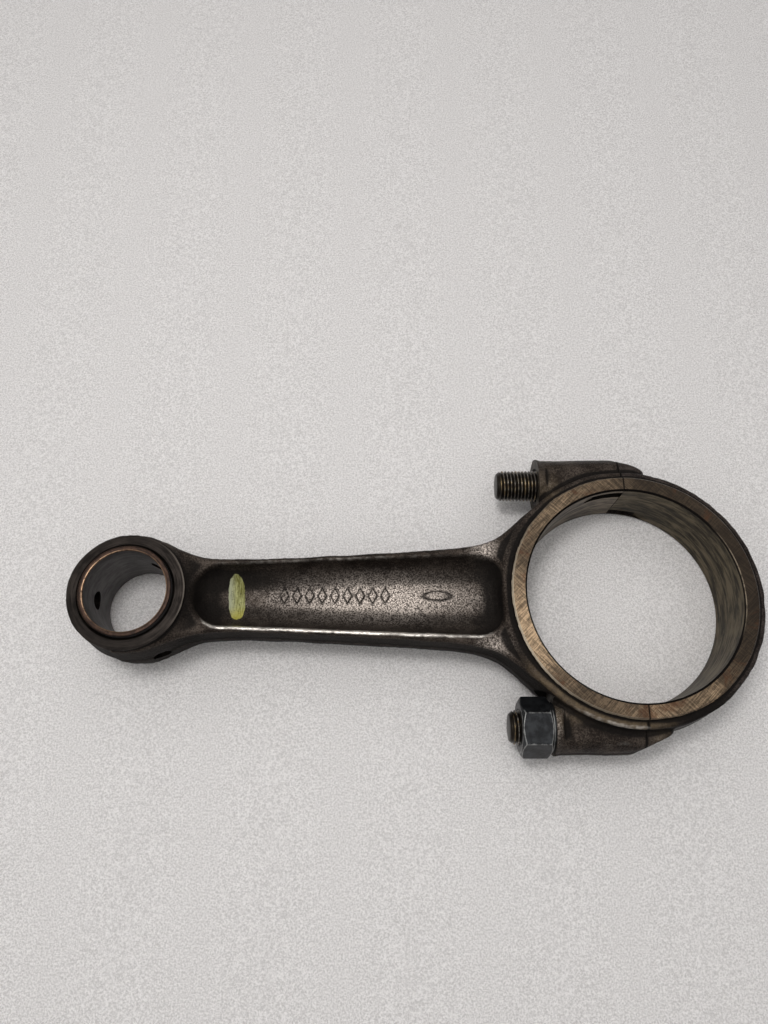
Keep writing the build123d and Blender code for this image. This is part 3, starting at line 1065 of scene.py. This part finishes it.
def ground_steel(name, dark, light):
    """A ground thrust face: two sets of fine scratches, worn bright in some places and stained in others, and
    a painted highlight on its outer edge.
    """
    box = Paintbox(name)
    x, y, z = box.split(box.place())
    scratches = []
    for lean in (1, -1):
        where = box.add("ShaderNodeCombineXYZ", {0: (x + y * lean) * 0.06, 1: y * lean - x, 2: z})
        scratches.append(box.step(box.noise(1.6, 3, 0.75, place=where), 0.36, 0.66))
    which = box.step(box.noise(0.12, 3), 0.35, 0.65, 0.25, 0.75)
    scratch = box.blend(which, *scratches)
    patch = box.noise(0.16, 4, 0.7, 0.4)
    angle, radius = box.around(0)
    polish = box.round_tone(angle, COLLAR_POLISH) * box.step(patch, 0.3, 0.7, 0.5, 1.5)
    polish = polish * box.step(scratch, 0.2, 0.8, 0.45, 1.5)
    box.ground(polish, dark, light)
    rust = box.step(box.noise(0.09, 5, 0.7, 0.8), 0.53, 0.66, 0, 0.75)
    box.coat(rust, RED_RUST)
    freckle = box.step(box.noise(1.3, 3, 0.7), 0.56, 0.70, 0, 0.7)
    box.coat(freckle, DARK_FRECKLE)
    # A painted highlight along the collar's outer edge, brightest towards -X
    rim = box.step(radius, COLLAR_RADIUS - 0.5, COLLAR_RADIUS - 0.3) * box.round_tone(angle, COLLAR_EDGE_HIGHLIGHT)
    box.coat(rim, COLLAR_EDGE_HIGHLIGHT_COLOUR)
    seam = box.step(abs(x), 0.3, 0.12, 0, 0.85)
    box.coat(seam, SEAM_BLACK)
    roughness = box.blend(scratch, 0.48, 0.34)
    return box.finish(roughness, 0.85, box.bump(scratch, 0.035), specular=0.3)


def bored_steel(name, dark, light, along=0.17):
    """A bored wall: long streaks that follow the cut, under broad stains."""
    box = Paintbox(name)
    drawn_out = box.place((along, along, 0.8))
    streak = box.noise(1.0, 4, 0.65, 0.4, drawn_out)
    fine = box.noise(3.1, 2, place=drawn_out)
    broad = box.noise(0.4, 4, 0.65, 0.6, drawn_out)
    box.ground(box.step(streak * 0.5 + broad * 0.5, 0.40, 0.61), dark, light)
    return box.finish(box.blend(streak, 0.58, 0.42), 0.8, box.bump(fine, 0.03), specular=0.15)


def bore_edge(name, dark, bright):
    """The bevel round the big bore: painted black as shade, and lighter towards +X."""
    box = Paintbox(name)
    angle, radius = box.around(0)
    lightened = box.round_tone(angle, BORE_EDGE_TONE) * box.step(radius, BIG_BORE + 0.22, BIG_BORE + 0.42)
    patch = box.noise(0.5, 3)
    shine = lightened * box.step(patch, 0.35, 0.55, 0.3, 1)
    box.ground(shine, dark, bright)
    return box.finish(box.blend(patch, 0.45, 0.3), 0.85, specular=0.3)


def bronze(name, dark, light):
    """The bush's rim: copper brown and oily, with a bright line on its inner edge and its outside painted
    black as shade.
    """
    box = Paintbox(name)
    tone = box.noise(2.0, 4, 0.7, place=box.turned_place(SMALL_X, 0.2, 1.0))
    angle, radius = box.around(SMALL_X)
    box.ground(box.step(tone, 0.35, 0.65), dark, light)
    line = box.step(radius, PIN_BORE + 0.42, PIN_BORE + 0.2) * box.step(tone, 0.3, 0.55, 0.3, 1)
    box.coat(line * box.round_tone(angle, BUSH_EDGE_TONE), BUSH_EDGE_BRIGHT)
    spots = box.step(box.noise(1.2, 3), 0.52, 0.66, 0, 0.8)
    box.coat(spots, BRONZE_SPOT)
    # Painted shade: the bush's outside is black
    outside = box.step(radius, BUSH_RADIUS - 0.2, BUSH_RADIUS - 0.02)
    box.coat(outside, BRONZE_OUTSIDE_SHADE)
    return box.finish(0.42, 0.85, box.bump(box.noise(1.5, 3), 0.08))


def boss_face(name, dark, light):
    """The small end's turned face: fine rings, painted shade that darkens it towards -Y, and a rubbed line at
    its outer edge on the shank's side.
    """
    box = Paintbox(name)
    rings = box.noise(1.6, 4, 0.7, place=box.turned_place(SMALL_X, 0.1, 2.4))
    patch = box.noise(0.16, 4)
    angle, radius = box.around(SMALL_X)
    # Painted shade: darker at some angles, most towards -Y
    share = box.step(rings * 0.6 + patch * 0.4, 0.38, 0.64) * box.round_tone(angle, BOSS_FACE_SHADE)
    box.ground(share, dark, light)
    x, y, _ = box.split(box.place())
    side = x - SMALL_X + y * 0.15
    face_edge = SMALL_END_RADIUS - BOSS_HALF * SMALL_END_TAPER
    line = box.step(radius, face_edge - 0.35, face_edge - 0.15) * box.step(side, 9, 16, 0, 0.4)
    box.coat(line, BOSS_FACE_LINE)
    return box.finish(box.blend(rings, 0.6, 0.46), 0.75, box.bump(rings, 0.03), specular=0.1)


def bolt_steel(name, grey, straw):
    """A rolled thread: darker in its roots, straw-coloured flanks in places, grey crests, rubbed and with a
    painted highlight.
    """
    box = Paintbox(name)
    patch = box.noise(0.35, 3)
    box.ground(box.step(patch, 0.5, 0.63), grey, straw)
    crest = box.attribute("crest") + box.noise(1.1, 3) * 0.4
    box.coat(box.step(crest, 1.15, 0.5), BOLT_ROOT_DARK)
    # Grey crests: rubbing with a painted highlight
    box.coat(box.step(crest, 1.13, 1.25, 0, 0.85), BOLT_CREST_HIGHLIGHT)
    return box.finish(0.36, 0.85, box.bump(box.noise(2.2, 3), 0.05), specular=0.3)


def black_oxide(name, dark, light):
    """A blackened nut, rubbed to grey steel along its edges, with painted shade dimming those on the +Y side.
    """
    box = Paintbox(name)
    tone = box.noise(0.45, 4)
    box.ground(box.step(tone, 0.35, 0.65), dark, light)
    rub = box.attribute("edge") + (box.noise(0.9, 4, 0.7) - 0.5)
    box.coat(box.step(rub, 0.55, 1.0, 0, 0.62), NUT_EDGE)
    roughness = box.blend(tone, 0.44, 0.32)
    return box.finish(roughness, 0.65, box.bump(box.noise(1.6, 3), 0.03), specular=0.3)


def paint_faces(piece, *choices):
    """Gives every face the first choice's material, and then those that a later choice picks its own."""
    faces = piece.data.polygons
    x, y, z = triples(faces, "center").T / MM
    facing = triples(faces, "normal").T
    index = np.zeros(len(faces), np.int32)
    piece.data.materials.clear()
    for number, (material, picks) in enumerate(choices):
        piece.data.materials.append(material)
        if picks is not None:
            index[picks(x, y, z, facing)] = number
    faces.foreach_set("material_index", index)


# Where each finish goes: every face is picked by its centre in millimetres and its normal
def on_collar(x, y, z, facing):
    within = np.hypot(x, y) < COLLAR_RADIUS + 0.05
    return within & (np.abs(z) > COLLAR_HALF - 0.4) & (np.abs(facing[2]) > 0.5)


def on_big_bore(x, y, z, facing):
    return (np.hypot(x, y) < BIG_BORE + 0.62) & (np.abs(facing[2]) < 0.9)


def on_bore_edge(x, y, z, facing):
    past_bore = np.hypot(x, y) - BIG_BORE
    return (past_bore > 0.03) & (past_bore < 0.62) & (np.abs(z) > COLLAR_HALF - 0.55)


def on_small_end_face(x, y, z, facing):
    within = np.hypot(x - SMALL_X, y) < SMALL_END_RADIUS
    return within & (np.abs(z) > BOSS_HALF - 0.35) & (np.abs(facing[2]) > 0.5)


def on_bush_wall(x, y, z, facing):
    return np.abs(z) < BUSH_HALF_LENGTH - 0.6


def on_joint(x, y, z, facing):
    return (np.abs(x) < 2 * JOINT_GAP) & (np.abs(facing[0]) > 0.9)


def on_spot_face(x, y, z, facing):
    return (np.abs(x - SEAT_X) < 0.05) & (facing[0] < -0.9)


def in_oil_hole(x, y, z, facing):
    picked = np.zeros(len(x), bool)
    for a in np.radians(OIL_HOLE_ANGLES):
        along = (x - SMALL_X) * math.cos(a) + y * math.sin(a)
        across = y * math.cos(a) - (x - SMALL_X) * math.sin(a)
        picked |= (np.hypot(across, z) < OIL_HOLE_RADIUS + 0.02) & (along > 0)
    return picked


def in_hole(x, y, z, facing):
    near_bolt = np.hypot(np.abs(y) - BOLT_Y, z) < BOLT_SHANK + 0.7
    drilled = near_bolt & (np.hypot(x, y) > BIG_BORE + 0.05) & (x > SEAT_X + 0.02)
    groove = np.abs(np.hypot(x - SMALL_X, y) - BUSH_RADIUS) < BUSH_GROOVE + 0.2
    return drilled | groove & (np.abs(facing[2]) < 0.95) | in_oil_hole(x, y, z, facing)


def dress(piece, body, node, sharp=32):
    """Rides on its body in place of its CAD node, with smooth shading broken at its edges."""
    piece.data.set_sharp_from_angle(angle=math.radians(sharp))
    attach(piece, body)
    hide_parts(node)


THRUST = ground_steel("thrust_face", *GROUND_FACE)
# Hole walls and the groove round the bush are painted near black, as shade
HOLE_SHADE = bored_steel("shaded_holes", *HOLE_SHADE_COLOURS, 0.5)
# The big bore's bevel, painted black as shade except towards +X
BEVEL = bore_edge("bore_edge", *BORE_EDGE)


def finish_half(piece, *choices):
    """The wear and the painted light and shade of one forged half, its own finishes, and then the ones that
    both halves share.
    """
    keep_forging_wear_and_shade(piece)
    shared = ((THRUST, on_collar), (THRUST, on_joint), (HOLE_SHADE, in_hole), (BEVEL, on_bore_edge))
    paint_faces(piece, *choices, *shared)


def build_rod():
    """The rod with its own finishes: paint, bored wall, turned face and spot faces."""
    rod = make_rod()
    finish_half(
        rod,
        (forged_steel("rod_forged_skin", *ROD_SCALE, painted=True), None),
        (bored_steel("rod_bore", *ROD_BORE), on_big_bore),
        (boss_face("boss_face", *SMALL_END_FACE), on_small_end_face),
        (bored_steel("spot_face", *SPOT_FACE, 0.5), on_spot_face),
    )
    dress(rod, "rod", "rod_forging")


def build_cap():
    """The cap, whose scale and bored wall are darker than the rod's."""
    cap = make_cap()
    skin = forged_steel("cap_forged_skin", *CAP_SCALE)
    finish_half(cap, (skin, None), (bored_steel("cap_bore", *CAP_BORE), on_big_bore))
    dress(cap, "cap", "bearing_cap")


def build_bush():
    bush = make_bush()
    wall = bored_steel("bush_bore", *BUSH_WALL, 0.3)
    paint_faces(bush, (bronze("bush_rim", *BUSH_RIM), None), (wall, on_bush_wall), (HOLE_SHADE, in_oil_hole))
    dress(bush, "rod", "small_end_bush")


def build_fasteners():
    """Both bolts, which move with the cap, and the nut."""
    steel = bolt_steel("bolt_thread", *BOLT_GREY_AND_STRAW)
    for name, side in (("upper_stud", 1), ("lower_stud", -1)):
        bolt = make_bolt(name, side)
        keep_thread_crests(bolt, side)
        paint_faces(bolt, (steel, None))
        dress(bolt, "cap", name.replace("stud", "bolt"), 40)
    nut = make_nut()
    keep_nut_wear_and_shade(nut)
    paint_faces(nut, (black_oxide("nut_black_oxide", *NUT_OXIDE), None))
    dress(nut, "nut", "lower_nut", 28)


# ---- Floor, camera and light ----
def floor_material():
    """A plain pale surface with a faint soft grain."""
    box = Paintbox("floor_pale")
    tone = box.noise(2.0, 3, 0.85)
    box.ground(box.step(tone, 0.35, 0.65), *FLOOR_GRAIN)
    return box.finish(0.5, 0.0, box.bump(tone, 0.3))


def make_floor():
    """A broad plane that the bush and the far side of the thrust collar both rest on."""
    bush_side = SMALL_X + BUSH_RADIUS
    slope = (BUSH_HALF_LENGTH - COLLAR_HALF) / (COLLAR_RADIUS - bush_side)
    corners = []
    for side_x, side_y in ((-1, -1), (1, -1), (1, 1), (-1, 1)):
        x = side_x * FLOOR_REACH
        corners.append((x, side_y * FLOOR_REACH, slope * (x - bush_side) - BUSH_HALF_LENGTH))
    floor = make_piece("floor", corners, [(0, 1, 2, 3)])
    floor.data.materials.append(floor_material())


def make_camera():
    data = bpy.data.cameras.new("camera")
    data.lens = CAMERA_LENS
    data.sensor_width = 36
    camera = put_in_scene("camera", data)
    camera.location = CAMERA_PLACE
    camera.rotation_euler = [math.radians(degrees) for degrees in CAMERA_TURN]
    bpy.context.scene.camera = camera


def make_key_light():
    data = bpy.data.lights.new("key", "AREA")
    data.size = KEY_SIZE
    data.energy = KEY_POWER
    data.color = KEY_COLOUR
    lamp = put_in_scene("key", data)
    lamp.location = KEY_PLACE
    lamp.rotation_euler = (Vector(KEY_AIM) - Vector(KEY_PLACE)).to_track_quat("-Z", "Y").to_euler()


def make_sky():
    """A soft overhead glow, a little towards +Y, over a dim room."""
    world = bpy.data.worlds.new("world")
    bpy.context.scene.world = world
    world.use_nodes = True
    sky = Nodes(world.node_tree)
    directions = {0: sky.add("ShaderNodeTexCoord", output="Generated"), 1: SKY_GLOW}
    upward = sky.add("ShaderNodeVectorMath", directions, output="Value", operation="DOT_PRODUCT")
    background = world.node_tree.nodes["Background"]
    sky.put(background.inputs["Color"], sky.mix(sky.step(upward, 0.1, 0.97), *ROOM_AND_GLOW))
    background.inputs["Strength"].default_value = SKY_STRENGTH


build_rod()
build_cap()
build_bush()
build_fasteners()
make_floor()
make_camera()
make_sky()
make_key_light()
bpy.context.scene.view_settings.view_transform = "Standard"
